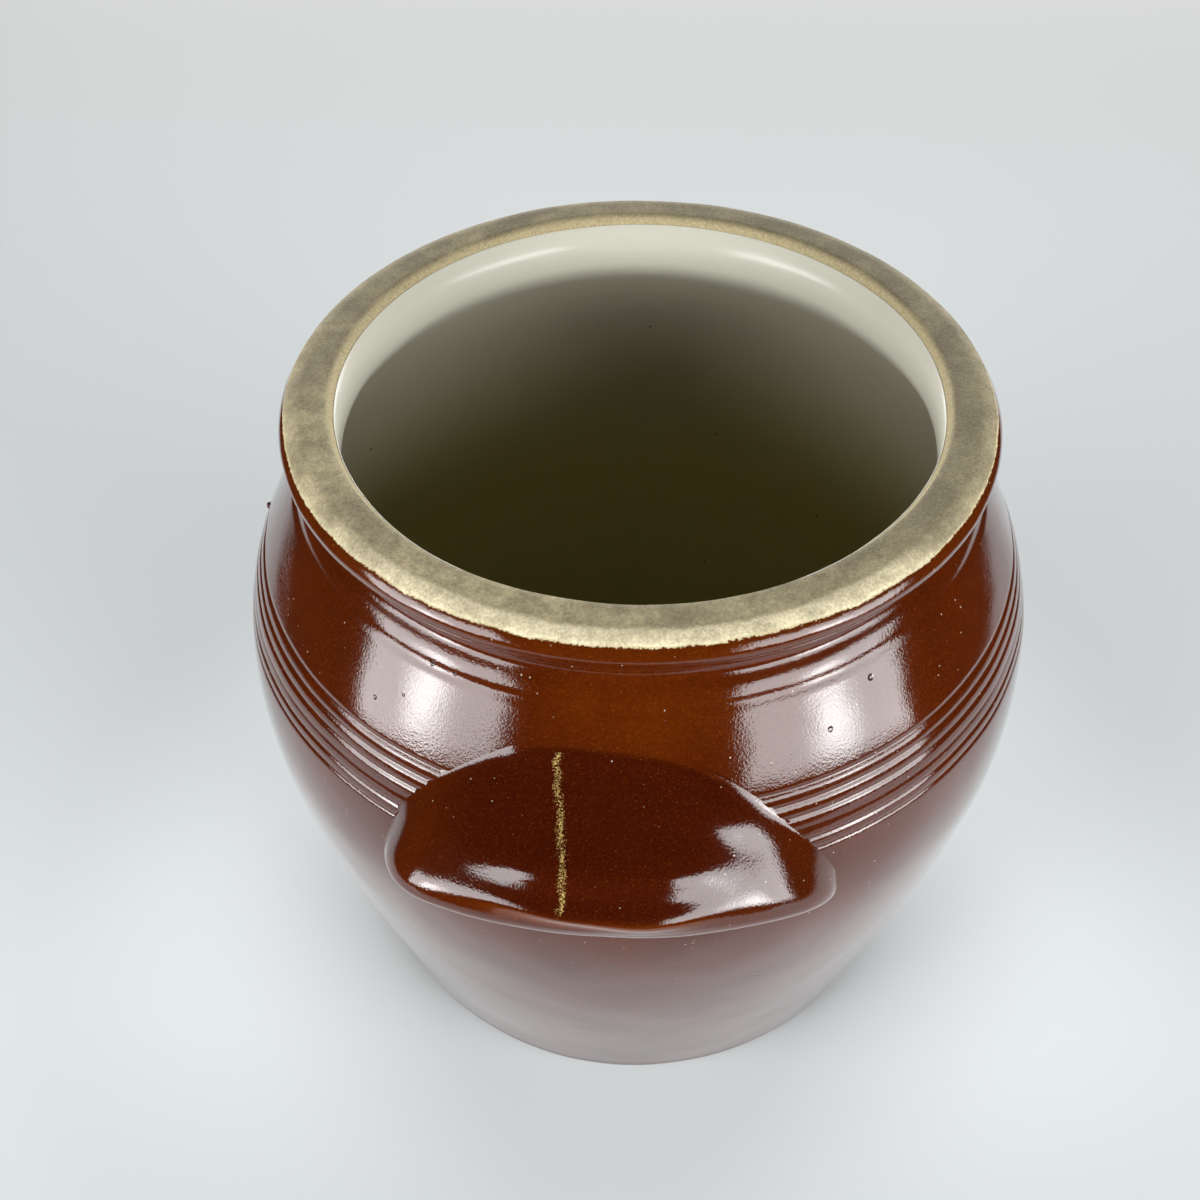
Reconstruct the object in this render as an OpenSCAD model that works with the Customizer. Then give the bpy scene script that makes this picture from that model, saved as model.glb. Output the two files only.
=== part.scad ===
// Stoneware confit pot with two lugs: a thrown body with a bare rim and a bare foot,
// combed grooves round the shoulder, a brown glaze outside and a pale lining inside.
// Millimetres, +Z up, origin at the centre of the foot, photographed lug on -Y.

/* [Pot] */
// Height from the table to the top of the rim
pot_h = 268; // [240:1:320]
// Thickness of the thrown wall
wall_t = 10; // [7:0.5:12]
// Thickness of the floor
floor_t = 13; // [8:1:20]
// Radius of the inside corner between floor and wall
floor_corner_r = 16; // [8:1:24]

/* [Foot] */
// Radius of the foot
foot_r = 114; // [95:1:130]
// Rounding of the bare edge of the foot
foot_round = 3; // [1:0.5:6]
// Lean of the wall above the foot, in degrees from upright
foot_lean = 13.5; // [6:0.5:20]

/* [Belly] */
// Radius of the clay at its widest
belly_r = 145; // [135:1:165]
// Height of the widest place
belly_z = 155; // [130:1:165]

/* [Shoulder] */
// Step from the neck out to the top of the shoulder
shoulder_step = 4; // [2:0.1:8]
// Drop from the rim to the top of the shoulder
shoulder_top_drop = 27; // [24:0.5:32]
// Lean of the shoulder there, in degrees from upright
shoulder_lean = 29; // [18:1:40]
// Distance from there down to the throwing mark round the shoulder
ring_mark_step = 3; // [2.5:0.5:6]
// Depth of the throwing mark
ring_mark_depth = 0.4; // [0.1:0.1:1]
// Width of the throwing mark
ring_mark_w = 4.4; // [2:0.2:5]

/* [Neck and rim] */
// Outside radius of the neck at its narrowest
neck_r = 113.2; // [100:0.1:125]
// Thickness of the clay there
neck_wall_t = 10.8; // [8:0.1:16]
// Drop from the rim to the narrowest place
neck_drop = 19.5; // [18:0.5:22]
// Overhang of the lip past the neck
lip_overhang = 6.6; // [4:0.1:11]
// Drop from the rim to the widest place of the lip
lip_drop = 7; // [5:0.5:9]
// Width of the rounded outer shoulder of the rim
rim_round_w = 8; // [5:0.5:10]
// Radius of the lip below its widest place
lip_under_r = 6; // [3:0.5:7]
// Height of the straight inside wall of the neck
mouth_h = 24; // [16:1:28]
// Height over which the inside widens below that wall
undercut_h = 12; // [6:1:20]
// Width of the bevel at the inside of the rim
rim_bevel_w = 2.2; // [1:0.1:3.5]
// Height of that bevel
rim_bevel_h = 3.2; // [1.5:0.1:5]

/* [Grooves] */
// Number of combed grooves round the shoulder
groove_count = 6; // [3:1:6]
// Drop from the rim to the uppermost groove
groove_drop = 58.5; // [50:0.5:64]
// Distance from groove to groove
groove_pitch = 4.7; // [4:0.1:5.5]
// Width of a groove
groove_w = 3; // [2:0.1:3.8]
// Depth of a groove
groove_depth = 0.8; // [0.2:0.1:1.5]
// Groove that the comb barely touched, counted from the top
faint_groove = 4; // [1:1:6]
// Depth of that groove
faint_groove_depth = 0.3; // [0.1:0.1:1]

/* [Lugs] */
// Angle that a lug covers round the wall, in degrees
lug_span = 57; // [40:1:70]
// How far a lug stands out from the wall
lug_reach = 20; // [12:0.5:28]
// Drop from the rim to the top of a lug at its middle
lug_top_drop = 40; // [36:0.5:50]
// Drop from the rim to the top of a lug at its ends
lug_end_drop = 84; // [72:0.5:92]
// Drop from the rim to the underside of a lug at the wall
lug_low_drop = 97; // [94:0.5:110]
// Extra drop of the underside at the two ends
lug_end_sag = 4; // [0:0.5:8]
// Fullness of the arch that the lug's top makes on the wall
lug_arch_power = 1.8; // [1.5:0.1:2.6]
// Squareness of the lug's front edge seen from above
lug_end_power = 3.5; // [2:0.1:5]
// Thickness of a lug's smeared edge on the wall
lug_edge_t = 0.5; // [0.2:0.1:1]
// Bed of luting slip between a lug and the wall
luting_gap = 0.1; // [0.08:0.01:0.3]

/* [Glaze] */
// Thickness of the brown glaze
glaze_t = 0.5; // [0.2:0.1:1]
// Drop from the rim to the edge of the brown glaze
glaze_rim_drop = 2.8; // [1:0.1:4.5]
// Width of the joint between the glaze of the wall and of a lug
glaze_joint = 0.6; // [0.4:0.1:1.5]
// Thickness of the pale lining
lining_t = 0.4; // [0.2:0.1:1]

/* [Hidden] */
$fn = 180;

// Colours of the bare clay and of the two glazes
clay_colour = "#b3a684";
brown_colour = "#6b2410";
pale_colour = "#d5d3c6";

// Reach of the curve handles, as shares of the height that a curve spans
flank_pull_low = 0.32;
flank_pull_high = 0.26;
shoulder_pull_low = 0.46;
shoulder_pull_high = 0.40;
neck_pull = 0.45;

// Steps along the curves of the outline
curve_steps = 48;
wall_steps = 26;
short_steps = 7;

// Radii that follow from the neck
mouth_r = neck_r - neck_wall_t;
lip_r = neck_r + lip_overhang;
shoulder_top_r = neck_r + shoulder_step;

// Heights that follow from the drops
neck_z = pot_h - neck_drop;
lip_z = pot_h - lip_drop;
shoulder_top_z = pot_h - shoulder_top_drop;
mouth_low_z = pot_h - mouth_h;

// Point on a cubic curve, and a list of such points
function on_curve(a, b, c, d, t) =
    a * pow(1 - t, 3) + 3 * b * pow(1 - t, 2) * t + 3 * c * (1 - t) * pow(t, 2) + d * pow(t, 3);
function curve(a, b, c, d, steps) = [for (i = [0 : steps]) on_curve(a, b, c, d, i / steps)];

// Points on an upright ellipse from one angle to another
function arc(centre, half_w, half_h, from, to, steps) =
    [for (i = [0 : steps]) let (angle = from + (to - from) * i / steps)
        centre + [half_w * cos(angle), half_h * sin(angle)]];

// Path without its first point, so that two paths join without a doubled point
function tail(path) = [for (i = [1 : len(path) - 1]) path[i]];
function backwards(path) = [for (i = [len(path) - 1 : -1 : 0]) path[i]];

// Path moved sideways: to its right hand for a positive distance
function sideways(path, distance) =
    [for (i = [0 : len(path) - 1])
        let (before = path[max(i - 1, 0)])
        let (after = path[min(i + 1, len(path) - 1)])
        let (along = (after - before) / norm(after - before))
        path[i] + distance * [along.y, -along.x]];

// Smooth outside of the wall from the foot to the neck, without the grooves
flank_h = belly_z - foot_round;
shoulder_h = shoulder_top_z - belly_z;
flank = curve(
    [foot_r, foot_round],
    [foot_r + tan(foot_lean) * flank_pull_low * flank_h, foot_round + flank_pull_low * flank_h],
    [belly_r, belly_z - flank_pull_high * flank_h],
    [belly_r, belly_z], curve_steps);
shoulder = curve(
    [belly_r, belly_z],
    [belly_r, belly_z + shoulder_pull_low * shoulder_h],
    [shoulder_top_r + tan(shoulder_lean) * shoulder_pull_high * shoulder_h,
        shoulder_top_z - shoulder_pull_high * shoulder_h],
    [shoulder_top_r, shoulder_top_z], curve_steps);
wall_table = [for (p = concat(flank, tail(shoulder))) [p.y, p.x]];
function wall_r(z) = lookup(z, wall_table);

// Grooves and throwing mark: height, depth and half width of each, from the lowest up
grooves = [for (i = [groove_count : -1 : 1])
    [pot_h - groove_drop - (i - 1) * groove_pitch,
        i == faint_groove ? faint_groove_depth : groove_depth, groove_w / 2]];
ring_mark = [shoulder_top_z - ring_mark_step, ring_mark_depth, ring_mark_w / 2];
marks = concat(grooves, [ring_mark]);
mark_shares = [-1, -0.7, -0.35, 0, 0.35, 0.7, 1];
function dent(share) = (1 + cos(180 * share)) / 2;
function mark_points(mark) =
    [for (u = mark_shares) let (z = mark[0] + u * mark[2]) [wall_r(z) - mark[1] * dent(u), z]];
function plain_points(low, high, steps) =
    [for (i = [1 : steps - 1]) let (z = low + (high - low) * i / steps) [wall_r(z), z]];

// Outside of the clay between the foot and the neck, with the grooves
comb_low_z = marks[0][0] - marks[0][2];
comb_high_z = marks[groove_count - 1][0] + marks[groove_count - 1][2];
wall_path = concat(
    [flank[0]],
    plain_points(foot_round, comb_low_z, wall_steps),
    [for (mark = grooves) each mark_points(mark)],
    plain_points(comb_high_z, ring_mark[0] - ring_mark[2], short_steps),
    mark_points(ring_mark),
    [[shoulder_top_r, shoulder_top_z]]);

// Neck and lip of the clay, up to the edge of the glaze, and the bare rim above it
lip_under_angle = -50;
lip_under_centre = [lip_r - lip_under_r, lip_z];
rim_round_centre = [lip_r - rim_round_w, lip_z];
glaze_edge_angle = asin(1 - glaze_rim_drop / lip_drop);
lip_under = arc(lip_under_centre, lip_under_r, lip_under_r, lip_under_angle, 0, short_steps);
lip_start = lip_under[0];
neck_low_pull = neck_pull * (neck_z - shoulder_top_z);
neck_high_pull = neck_pull * (lip_start.y - neck_z);
neck_low = curve(
    [shoulder_top_r, shoulder_top_z],
    [shoulder_top_r - tan(shoulder_lean) * neck_low_pull, shoulder_top_z + neck_low_pull],
    [neck_r, neck_z - neck_low_pull],
    [neck_r, neck_z], short_steps);
neck_high = curve(
    [neck_r, neck_z],
    [neck_r, neck_z + neck_high_pull],
    lip_start - neck_high_pull * [-sin(lip_under_angle), cos(lip_under_angle)],
    lip_start, short_steps);
lip_face = arc(rim_round_centre, rim_round_w, lip_drop, 0, glaze_edge_angle, short_steps);
rim_round = arc(rim_round_centre, rim_round_w, lip_drop, glaze_edge_angle, 90, short_steps);
glazed_path = concat(wall_path, tail(neck_low), tail(neck_high), tail(lip_under), tail(lip_face));
foot_edge = arc([foot_r - foot_round, foot_round], foot_round, foot_round, -90, 0, short_steps);

// Inside of the clay, from the mouth down to the middle of the floor
inside_top_z = mouth_low_z - undercut_h;
undercut_pull = undercut_h / 3;
inside_low_z = floor_t + floor_corner_r;
inside_low_r = wall_r(inside_low_z) - wall_t;
undercut = curve(
    [mouth_r, mouth_low_z],
    [mouth_r, mouth_low_z - undercut_pull],
    [wall_r(inside_top_z) - wall_t - tan(shoulder_lean) * undercut_pull, inside_top_z + undercut_pull],
    [wall_r(inside_top_z) - wall_t, inside_top_z], short_steps);
inside_wall = [for (i = [1 : wall_steps])
    let (z = inside_top_z + (inside_low_z - inside_top_z) * i / wall_steps)
    [wall_r(z) - wall_t, z]];
inside_corner = arc([inside_low_r - floor_corner_r, inside_low_z], floor_corner_r, floor_corner_r,
    0, -90, short_steps);
lining_path = concat(
    [[mouth_r, pot_h - rim_bevel_h]], undercut, inside_wall, tail(inside_corner), [[0, floor_t]]);
rim_inner = [mouth_r + rim_bevel_w, pot_h];

// Lug outline on the wall: a runs from -1 at one end over 0 at the middle to 1 at the other end
lug_steps = 24;
function arch(a) = pow(max(0, 1 - pow(abs(a), lug_arch_power)), 1 / lug_arch_power);
function reach(a) = lug_reach * pow(max(0, 1 - pow(abs(a), lug_end_power)), 1 / lug_end_power);
function lug_top(a) = pot_h - lug_end_drop + (lug_end_drop - lug_top_drop) * arch(a);
function lug_low(a) = pot_h - lug_low_drop - lug_end_sag * pow(abs(a), 3);
function lug_place(i) = sin(90 * (2 * i / lug_steps - 1));

// Section of a lug: share of the reach, share of the height from the underside to the top
lug_section = concat(
    curve([0, 1], [0.34, 0.80], [0.72, 0.50], [0.93, 0.36], 6),
    tail(curve([0.93, 0.36], [1.03, 0.29], [1.03, 0.17], [0.88, 0.15], 4)),
    tail(curve([0.88, 0.15], [0.50, 0.12], [0.06, 0.15], [0, 0], 4)));
section_steps = len(lug_section) - 1;

// Point at an angle from the middle of the front lug, out from the lug's seat on the wall
function at_angle(r, angle, z) = [r * sin(angle), -r * cos(angle), z];
function lug_point(i, j, out) =
    let (a = lug_place(i))
    let (z = lug_low(a) + lug_section[j].y * (lug_top(a) - lug_low(a)))
    at_angle(wall_r(z) + luting_gap + out, a * lug_span / 2, z);
function lug_seat_point(i, j) = lug_point(i, j, 0);
function lug_face_point(i, j) = lug_point(i, j, lug_edge_t + lug_section[j].x * reach(lug_place(i)));

// Outward direction of the lug's face, and the surface of the glaze on it
function lug_normal(i, j) =
    let (across = lug_face_point(min(i + 1, lug_steps), j) - lug_face_point(max(i - 1, 0), j))
    let (down = lug_face_point(i, min(j + 1, section_steps)) - lug_face_point(i, max(j - 1, 0)))
    let (outward = cross(down, across))
    outward / norm(outward);
function lug_coat_point(i, j) = lug_face_point(i, j) + glaze_t * lug_normal(i, j);

// Faces between the points of a grid, and along the edge between an outer and an inner grid
grid_size = (lug_steps + 1) * (section_steps + 1);
function grid_index(i, j) = i * (section_steps + 1) + j;
grid_faces = [for (i = [0 : lug_steps - 1]) for (j = [0 : section_steps - 1])
    let (a = grid_index(i, j))
    let (b = grid_index(i + 1, j))
    let (c = grid_index(i + 1, j + 1))
    let (d = grid_index(i, j + 1))
    each [[a, b, c], [a, c, d]]];
inner_faces = [for (f = grid_faces) [f[0], f[2], f[1]] + grid_size * [1, 1, 1]];
edge_loop = concat(
    [for (i = [0 : lug_steps - 1]) grid_index(i, 0)],
    [for (j = [0 : section_steps - 1]) grid_index(lug_steps, j)],
    [for (i = [lug_steps : -1 : 1]) grid_index(i, section_steps)],
    [for (j = [section_steps : -1 : 1]) grid_index(0, j)]);
edge_faces = [for (k = [0 : len(edge_loop) - 1])
    let (a = edge_loop[k])
    let (b = edge_loop[(k + 1) % len(edge_loop)])
    each [[a, grid_size + a, grid_size + b], [a, grid_size + b, b]]];

// Solid between an outer and an inner grid of points
module layer(outer_points, inner_points) {
    polyhedron(concat(outer_points, inner_points), concat(grid_faces, inner_faces, edge_faces));
}

// Clay of a lug, between its face and its seat on the wall
module lug_clay() {
    layer(
        [for (i = [0 : lug_steps]) for (j = [0 : section_steps]) lug_face_point(i, j)],
        [for (i = [0 : lug_steps]) for (j = [0 : section_steps]) lug_seat_point(i, j)]);
}

// Coat of glaze on a lug's face
module lug_coat() {
    layer(
        [for (i = [0 : lug_steps]) for (j = [0 : section_steps]) lug_coat_point(i, j)],
        [for (i = [0 : lug_steps]) for (j = [0 : section_steps]) lug_face_point(i, j)]);
}

// Outline of a lug's seat seen from the front, grown by the joint, cut through the glaze of the wall
module lug_opening() {
    half_angle = lug_span / 2 + glaze_joint / belly_r * 180 / PI;
    top_line = [for (i = [0 : lug_steps]) let (a = lug_place(i)) let (z = lug_top(a) + glaze_joint)
        [wall_r(z) * sin(a * half_angle), z]];
    low_line = [for (i = [lug_steps : -1 : 0]) let (a = lug_place(i)) let (z = lug_low(a) - glaze_joint)
        [wall_r(z) * sin(a * half_angle), z]];
    rotate([90, 0, 0])
        linear_extrude(height = belly_r + lug_reach)
            polygon(concat(top_line, low_line));
}

module turned(outline) {
    rotate_extrude() polygon(outline);
}

// Thrown body: floor, wall, neck and bare rim
module stoneware_body() {
    color(clay_colour)
        turned(concat([[0, 0]], foot_edge, tail(glazed_path), tail(rim_round), [rim_inner], lining_path));
}

// Brown glaze on the outside of the wall, neck and lip
module outer_glaze() {
    color(brown_colour)
        difference() {
            turned(concat(sideways(glazed_path, glaze_t), backwards(glazed_path)));
            lug_opening();
            mirror([0, 1, 0]) lug_opening();
        }
}

// Pale lining of the neck, wall and floor
module lining_glaze() {
    inner_face = sideways(lining_path, lining_t);
    last = len(inner_face) - 1;
    closed_face = concat([for (i = [0 : last - 1]) inner_face[i]], [[0, floor_t + lining_t]]);
    color(pale_colour)
        turned(concat(lining_path, backwards(closed_face)));
}

module front_lug() {
    color(clay_colour) lug_clay();
}

module front_lug_glaze() {
    color(brown_colour) lug_coat();
}

module rear_lug() {
    color(clay_colour) rotate([0, 0, 180]) lug_clay();
}

module rear_lug_glaze() {
    color(brown_colour) rotate([0, 0, 180]) lug_coat();
}

stoneware_body();
outer_glaze();
lining_glaze();
front_lug();
front_lug_glaze();
rear_lug();
rear_lug_glaze();
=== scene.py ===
import math

import bpy
import numpy as np
from mathutils import Matrix


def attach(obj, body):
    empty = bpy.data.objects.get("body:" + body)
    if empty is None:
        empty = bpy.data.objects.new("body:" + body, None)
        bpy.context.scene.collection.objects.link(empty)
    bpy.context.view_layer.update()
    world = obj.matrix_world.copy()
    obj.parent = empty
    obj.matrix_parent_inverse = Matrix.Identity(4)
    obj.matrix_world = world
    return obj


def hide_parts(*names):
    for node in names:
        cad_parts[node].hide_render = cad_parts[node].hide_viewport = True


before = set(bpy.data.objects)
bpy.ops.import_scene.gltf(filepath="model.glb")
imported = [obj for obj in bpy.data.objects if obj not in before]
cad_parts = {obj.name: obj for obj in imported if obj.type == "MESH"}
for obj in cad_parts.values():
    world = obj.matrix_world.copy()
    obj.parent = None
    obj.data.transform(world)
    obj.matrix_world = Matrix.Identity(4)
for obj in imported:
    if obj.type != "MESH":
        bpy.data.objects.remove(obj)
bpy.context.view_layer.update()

# Stoneware body
# One thrown pot of buff stoneware: floor, leaning flank, round shoulder, short neck and thick lip.
# It is turned on a wheel, so it is one outline spun round the Z axis; its rim and foot stay bare.

mm = 0.001
pot_h = 268 * mm
wall_t = 10 * mm
floor_t = 13 * mm
floor_corner_r = 16 * mm
foot_r = 114 * mm
foot_round = 3 * mm
foot_lean = math.radians(13.5)
belly_r = 145 * mm
belly_z = 155 * mm
shoulder_top_r = 117.2 * mm
shoulder_top_z = pot_h - 27 * mm
shoulder_lean = math.radians(29)
neck_r = 113.2 * mm
neck_z = pot_h - 19.5 * mm
neck_pull = 3.4 * mm
lip_r = 120.3 * mm
lip_z = pot_h - 7 * mm
lip_under_r = 6 * mm
lip_under_turn = 50
rim_round_w = 8.5 * mm
rim_round_h = 7 * mm
rim_bevel_w = 2.2 * mm
rim_bevel_h = 3.2 * mm
mouth_r = 102.4 * mm
mouth_low_z = pot_h - 20 * mm
undercut_h = 17 * mm

# How far each end of the flank, shoulder and lip pulls on its curve, as a share of the height
foot_pull, flank_pull = 0.32, 0.26
belly_pull, shoulder_pull = 0.46, 0.40
lip_share_pull = 0.45


def curve(a, b, c, d, steps):
    """Points on a cubic curve from a to d, without a itself."""
    a, b, c, d = (np.array(p) for p in (a, b, c, d))
    return [
        a * (1 - t) ** 3 + 3 * b * (1 - t) ** 2 * t + 3 * c * (1 - t) * t**2 + d * t**3
        for t in (i / steps for i in range(1, steps + 1))
    ]


def arc(centre, half_w, half_h, start, end, steps):
    """Points on an upright ellipse from one angle in degrees to another, without the first."""
    turns = (math.radians(start + (end - start) * i / steps) for i in range(1, steps + 1))
    return [np.array(centre) + (half_w * math.cos(t), half_h * math.sin(t)) for t in turns]


flank_h = belly_z - foot_round
shoulder_h = shoulder_top_z - belly_z
wall_foot = (foot_r, foot_round)
wall_belly = (belly_r, belly_z)
wall_top = (shoulder_top_r, shoulder_top_z)
smooth_wall = [np.array(wall_foot)]
smooth_wall += curve(
    wall_foot,
    (foot_r + math.tan(foot_lean) * foot_pull * flank_h, foot_round + foot_pull * flank_h),
    (belly_r, belly_z - flank_pull * flank_h),
    wall_belly,
    steps=60,
)
smooth_wall += curve(
    wall_belly,
    (belly_r, belly_z + belly_pull * shoulder_h),
    (
        shoulder_top_r + math.tan(shoulder_lean) * shoulder_pull * shoulder_h,
        shoulder_top_z - shoulder_pull * shoulder_h,
    ),
    wall_top,
    steps=60,
)
wall_heights = [p[1] for p in smooth_wall]
wall_radii = [p[0] for p in smooth_wall]


def wall_r(z):
    """Radius of the smooth outside of the clay at a height."""
    return float(np.interp(z, wall_heights, wall_radii))


# The neck is drawn in under the lip, and the lip rolls out over it
lip_centre = (lip_r - lip_under_r, lip_z)
lip_start = arc(lip_centre, lip_under_r, lip_under_r, -lip_under_turn, -lip_under_turn, 1)[0]
lip_turn = math.radians(lip_under_turn)
lip_pull = lip_share_pull * (lip_start[1] - neck_z)
neck_path = curve(
    wall_top,
    (shoulder_top_r - math.tan(shoulder_lean) * neck_pull, shoulder_top_z + neck_pull),
    (neck_r, neck_z - neck_pull),
    (neck_r, neck_z),
    steps=16,
)
neck_path += curve(
    (neck_r, neck_z),
    (neck_r, neck_z + lip_pull),
    lip_start - lip_pull * np.array((math.sin(lip_turn), math.cos(lip_turn))),
    lip_start,
    steps=12,
)
neck_path += arc(lip_centre, lip_under_r, lip_under_r, -lip_under_turn, 0, 12)

# Edge of the lip from its widest ring to where the brown coat ends, in mm inwards and upwards; from
# there the bare clay rounds off to the flat of the rim
lip_edge = [(0, 0), (0, 1.5), (0.85, 2.95), (2.2, 4.9)]
lip_path = curve(*((lip_r - inwards * mm, lip_z + up * mm) for inwards, up in lip_edge), steps=10)
coat_end_angle = math.degrees(math.asin(lip_edge[-1][1] * mm / rim_round_h))
rim_flat_r = lip_r - rim_round_w
bare_rim_path = arc((rim_flat_r, lip_z), rim_round_w, rim_round_h, coat_end_angle, 90, 10)
rim_flat_path = [
    np.array((r, pot_h)) for r in np.linspace(rim_flat_r, mouth_r + rim_bevel_w, 5)[1:]
]

# Inside of the clay, from the bevel at the mouth down to the middle of the floor
undercut_pull = undercut_h / 3
inside_top_z = mouth_low_z - undercut_h
inside_top_r = wall_r(inside_top_z) - wall_t
inside_low_z = floor_t + floor_corner_r
inside_low_r = wall_r(inside_low_z) - wall_t
inside_path = [np.array((mouth_r, pot_h - rim_bevel_h)), np.array((mouth_r, mouth_low_z))]
inside_path += curve(
    (mouth_r, mouth_low_z),
    (mouth_r, mouth_low_z - undercut_pull),
    (inside_top_r - math.tan(shoulder_lean) * undercut_pull, inside_top_z + undercut_pull),
    (inside_top_r, inside_top_z),
    steps=10,
)
inside_path += [
    np.array((wall_r(z) - wall_t, z)) for z in np.linspace(inside_top_z, inside_low_z, 37)[1:]
]
inside_path += arc(
    (inside_low_r - floor_corner_r, inside_low_z), floor_corner_r, floor_corner_r, 0, -90, 8
)
inside_path += [np.array((r, floor_t)) for r in np.linspace(inside_path[-1][0], 0, 9)[1:]]

# Six combed grooves run round the shoulder, the fourth one faint, and a throwing mark round its top
groove_count, faint_groove = 6, 3
groove_drop, groove_gap, groove_w = 58.5 * mm, 4.7 * mm, 3.2 * mm
groove_depth, faint_depth = 0.5 * mm, 0.2 * mm
ring_drop, ring_w, ring_depth = 3.5 * mm, 5.6 * mm, 0.30 * mm
groove_heights = [pot_h - groove_drop - groove_gap * i for i in range(groove_count)]
marks = [
    (height, groove_w, faint_depth if i == faint_groove else groove_depth)
    for i, height in enumerate(groove_heights)
]
marks.append((shoulder_top_z - ring_drop, ring_w, ring_depth))


def marked_r(z):
    """Radius of the outside of the clay at a height, with the grooves and the throwing mark."""
    r = wall_r(z)
    for height, width, depth in marks:
        share = abs(z - height) / (width / 2)
        if share < 1:
            r -= depth * (1 + math.cos(math.pi * share)) / 2
    return r


# The wall's rings lie closest where it is combed and marked
comb_margin, ring_margin = 3 * mm, 7 * mm
comb_low, comb_high = groove_heights[-1] - comb_margin, groove_heights[0] + comb_margin
ring_low = shoulder_top_z - ring_margin
wall_steps = [
    *np.linspace(foot_round, comb_low, 44)[1:],
    *np.linspace(comb_low, comb_high, 68)[1:],
    *np.linspace(comb_high, ring_low, 14)[1:],
    *np.linspace(ring_low, shoulder_top_z, 15)[1:],
]
foot_edge_steps = 6
foot_flat_r = foot_r - foot_round
foot_path = [np.array((r, 0.0)) for r in np.linspace(0, foot_flat_r, 8)]
foot_path += arc((foot_flat_r, foot_round), foot_round, foot_round, -90, 0, foot_edge_steps)
wall_path = [np.array((marked_r(z), z)) for z in wall_steps]
outside_path = foot_path + wall_path + neck_path + lip_path
clay_path = outside_path + bare_rim_path + rim_flat_path + inside_path


def turned(name, outline):
    """Throws a piece: one corner is drawn along the outline and spun once round the Z axis."""
    bpy.ops.object.select_all(action="DESELECT")
    bpy.ops.mesh.primitive_plane_add(size=mm)
    piece = bpy.context.object
    piece.name = piece.data.name = name
    bpy.ops.object.mode_set(mode="EDIT")
    bpy.ops.mesh.select_mode(type="VERT")
    bpy.ops.mesh.select_all(action="SELECT")
    bpy.ops.mesh.merge(type="CENTER")
    bpy.ops.transform.translate(value=(outline[0][0], 0, outline[0][1]))
    for here, there in zip(outline, outline[1:]):
        step = (there[0] - here[0], 0, there[1] - here[1])
        bpy.ops.mesh.extrude_region_move(TRANSFORM_OT_translate={"value": step})
    bpy.ops.mesh.select_all(action="SELECT")
    bpy.ops.mesh.spin(steps=240, angle=math.tau, center=(0, 0, 0), axis=(0, 0, 1))
    bpy.ops.mesh.select_all(action="SELECT")
    bpy.ops.mesh.remove_doubles(threshold=0.005 * mm)
    bpy.ops.mesh.normals_make_consistent(inside=False)
    bpy.ops.object.mode_set(mode="OBJECT")
    bpy.ops.object.shade_smooth()
    return piece


def applied(piece, kind, **settings):
    """Adds a modifier with its settings to a piece and applies it."""
    modifier = piece.modifiers.new(kind.title(), kind)
    for setting, value in settings.items():
        setattr(modifier, setting, value)
    bpy.context.view_layer.objects.active = piece
    bpy.ops.object.modifier_apply(modifier=modifier.name)


def uneven(piece, feature, depth, **settings):
    """Gives a piece the waves of handwork: feature is a wave's width, depth its full height."""
    waves = bpy.data.textures.new(piece.name + "_waves", "CLOUDS")
    waves.noise_scale = feature
    waves.noise_depth = 1
    applied(piece, "DISPLACE", texture=waves, texture_coords="LOCAL", strength=depth, **settings)


def hand_thrown(piece):
    """Gives a piece the slow and the small waves that clay, coat, lining and lugs share."""
    uneven(piece, feature=48 * mm, depth=0.7 * mm)
    uneven(piece, feature=17 * mm, depth=0.22 * mm)


body = turned("stoneware_body_clay", clay_path)
hand_thrown(body)


def to_linear(colour):
    """Linear colour with alpha from an sRGB hex value."""
    parts = (int(colour[i : i + 2], 16) / 255 for i in (1, 3, 5))
    return (*(p / 12.92 if p <= 0.04045 else ((p + 0.055) / 1.055) ** 2.4 for p in parts), 1)


def new_material(name, constants):
    """A new node material, with the constants on its shader's own sockets."""
    material = bpy.data.materials.new(name)
    material.use_nodes = True
    shader = material.node_tree.nodes["Principled BSDF"]
    for socket, value in constants.items():
        shader.inputs[socket].default_value = value
    return material, material.node_tree, shader


def node(tree, kind, inputs=None, **settings):
    """Adds a node with its own settings; an input takes a value or another node's output."""
    made = tree.nodes.new(kind)
    for setting, value in settings.items():
        setattr(made, setting, value)
    for socket, value in (inputs or {}).items():
        if isinstance(value, bpy.types.NodeSocket):
            tree.links.new(value, made.inputs[socket])
        else:
            made.inputs[socket].default_value = value
    return made


# Unglazed stoneware, fired hard: a dry matt buff. Years of hands and fat have left grey-brown
# stains on the flat of the rim, while its two edges are rubbed clean and stay cream, the outer one
# most at the front. The grit is finer than the render shows, so it is drawn at 0.9 mm.
clean_buff, stained_buff, mottled_buff = "#c2b58e", "#978c6f", "#81765c"
rubbed_cream, inner_buff = "#e4d9b6", "#b6a883"
blotch_w, patch_w, grit_w = 22 * mm, 6 * mm, 0.9 * mm
bare_stoneware, tree, surface = new_material(
    "bare_stoneware", {"Roughness": 0.78, "IOR": 1.5, "Specular IOR Level": 0.3}
)
place = node(tree, "ShaderNodeTexCoord").outputs["Object"]
apart = node(tree, "ShaderNodeSeparateXYZ", {"Vector": place}).outputs
x_square = node(tree, "ShaderNodeMath", {0: apart["X"], 1: apart["X"]}, operation="MULTIPLY")
squares = node(
    tree,
    "ShaderNodeMath",
    {0: apart["Y"], 1: apart["Y"], 2: x_square.outputs[0]},
    operation="MULTIPLY_ADD",
)
radius = node(tree, "ShaderNodeMath", {0: squares.outputs[0]}, operation="SQRT").outputs[0]
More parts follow.
